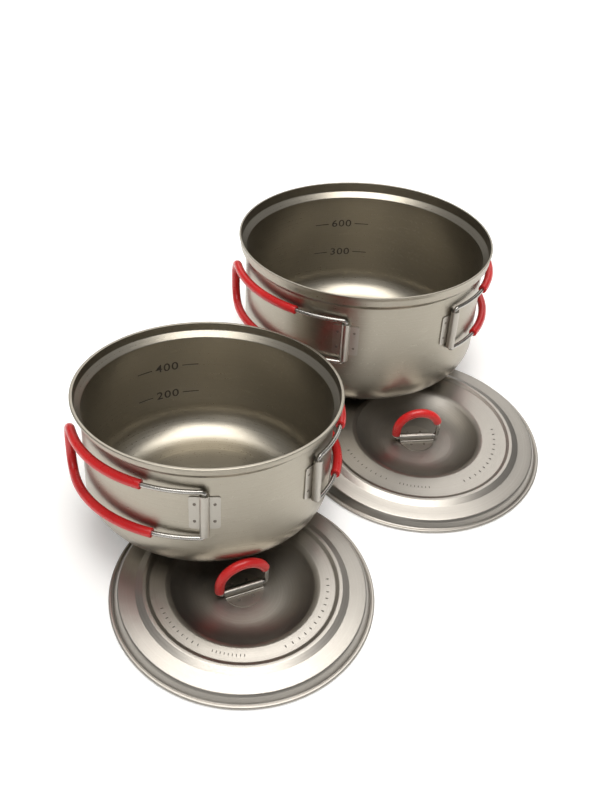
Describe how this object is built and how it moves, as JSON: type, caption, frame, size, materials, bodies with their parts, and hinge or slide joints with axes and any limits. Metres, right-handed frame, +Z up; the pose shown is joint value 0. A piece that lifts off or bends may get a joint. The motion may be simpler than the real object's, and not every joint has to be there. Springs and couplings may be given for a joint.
{
  "type": "nesting camping pot set",
  "caption": "Nesting lightweight camping pots with folding sleeved wire handles, each leaning on its own stepped, dished lid with a fold-down wire grip.",
  "frame": {"origin": "centre of the whole set on the table plane, as laid out with each pot leaning on its lid", "axes": "+Z up, +Y from the lids towards the back of the set, +X to the right of a viewer in front of the lids"},
  "size_m": [0.249, 0.336, 0.0884],
  "materials": {
    "pot_metal": "fine bead-blasted titanium, satin warm grey",
    "wire_steel": "bright drawn stainless wire",
    "sleeve_silicone": "glossy red silicone tube"
  },
  "bodies": {
    "pot_small": {"pot_small": "pot_metal", "handle_bracket_small_left": "pot_metal", "handle_bracket_small_right": "pot_metal"},
    "handle_small_left": {"handle_wire_small_left": "wire_steel", "handle_sleeve_small_left": "sleeve_silicone"},
    "handle_small_right": {"handle_wire_small_right": "wire_steel", "handle_sleeve_small_right": "sleeve_silicone"},
    "lid_small": {"lid_small": "pot_metal", "grip_bracket_small": "pot_metal"},
    "grip_small": {"grip_wire_small": "wire_steel", "grip_sleeve_small": "sleeve_silicone"},
    "pot_large": {"pot_large": "pot_metal", "handle_bracket_large_left": "pot_metal", "handle_bracket_large_right": "pot_metal"},
    "handle_large_left": {"handle_wire_large_left": "wire_steel", "handle_sleeve_large_left": "sleeve_silicone"},
    "handle_large_right": {"handle_wire_large_right": "wire_steel", "handle_sleeve_large_right": "sleeve_silicone"},
    "lid_large": {"lid_large": "pot_metal", "grip_bracket_large": "pot_metal"},
    "grip_large": {"grip_wire_large": "wire_steel", "grip_sleeve_large": "sleeve_silicone"}
  },
  "joints": [
    {"name": "pot_small_lift", "type": "slide", "parent": "pot_large", "child": "pot_small", "axis": [0, 0, 1], "range_m": [0, 0.12]},
    {"name": "lid_small_slide", "type": "slide", "parent": "pot_large", "child": "lid_small", "axis": [0, -1, 0], "range_m": [0, 0.1]},
    {"name": "lid_large_slide", "type": "slide", "parent": "pot_large", "child": "lid_large", "axis": [0.8, -0.6, 0], "range_m": [0, 0.1]},
    {"name": "handle_small_left_hinge", "type": "hinge", "parent": "pot_small", "child": "handle_small_left", "pos_m": [-0.05038, -0.10673, 0.05518], "axis": [-0.0242, 0.1478, 0.9887], "range_deg": [0, 168]},
    {"name": "handle_small_right_hinge", "type": "hinge", "parent": "pot_small", "child": "handle_small_right", "pos_m": [-0.00147, -0.07531, 0.05168], "axis": [0.0242, -0.1478, -0.9887], "range_deg": [0, 168]},
    {"name": "grip_small_hinge", "type": "hinge", "parent": "lid_small", "child": "grip_small", "pos_m": [-0.03223, -0.10427, 0.0028], "axis": [0.891, 0.454, 0], "range_deg": [0, 75]},
    {"name": "handle_large_left_hinge", "type": "hinge", "parent": "pot_large", "child": "handle_large_left", "pos_m": [0.00862, 0.02196, 0.05848], "axis": [-0.0278, 0.0941, 0.9952], "range_deg": [0, 25]},
    {"name": "handle_large_right_hinge", "type": "hinge", "parent": "pot_large", "child": "handle_large_right", "pos_m": [0.06812, 0.04217, 0.05823], "axis": [0.0278, -0.0941, -0.9952], "range_deg": [0, 164]},
    {"name": "grip_large_hinge", "type": "hinge", "parent": "lid_large", "child": "grip_large", "pos_m": [0.05487, 0.01223, 0.0028], "axis": [0.9816, 0.1908, 0], "range_deg": [-75, 75]}
  ]
}
